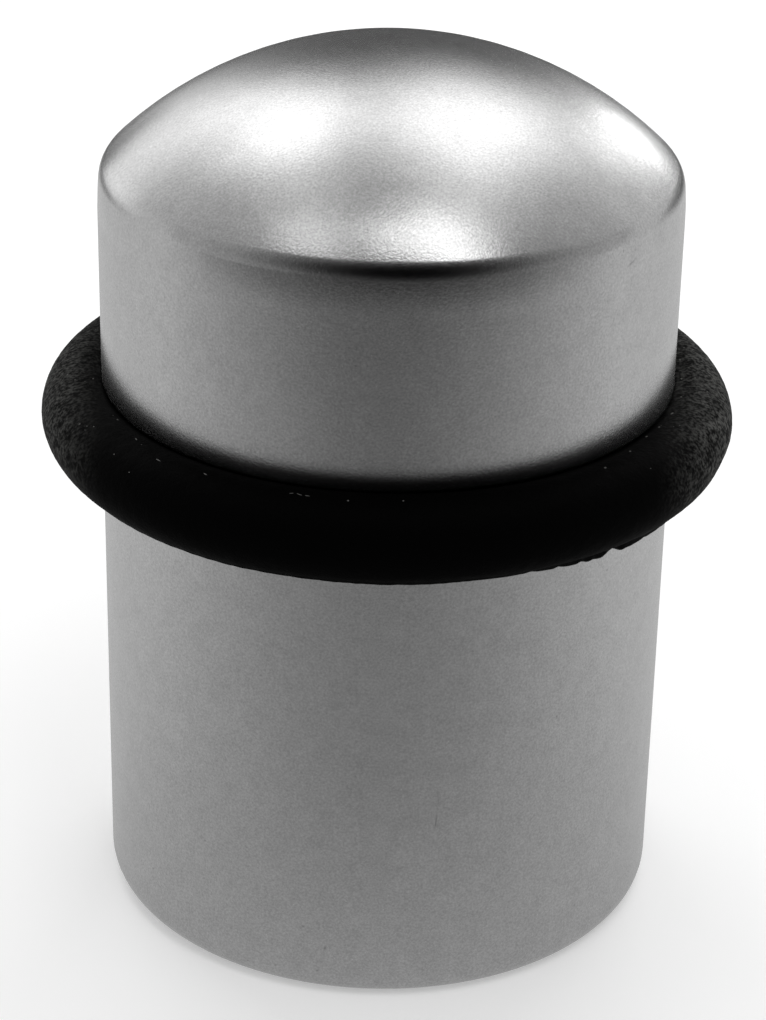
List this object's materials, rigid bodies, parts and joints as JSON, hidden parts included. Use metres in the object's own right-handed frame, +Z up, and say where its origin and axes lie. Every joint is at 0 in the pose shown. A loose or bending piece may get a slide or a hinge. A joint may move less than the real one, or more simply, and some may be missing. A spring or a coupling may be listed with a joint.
{
  "type": "floor door stop",
  "caption": "Domed cylindrical floor door stop in satin chrome, with a black rubber buffer ring in a groove and a tapped hole in its underside.",
  "frame": {"origin": "centre of the base, on the plane of the rim that stands on the floor", "axes": "+Z up along the post's axis, towards the dome"},
  "size_m": [0.0362, 0.0362, 0.047],
  "materials": {
    "satin_chrome": "satin",
    "black_rubber": "satin"
  },
  "bodies": {
    "root": {"stop_body": "satin_chrome", "buffer_ring": "black_rubber"}
  },
  "joints": []
}
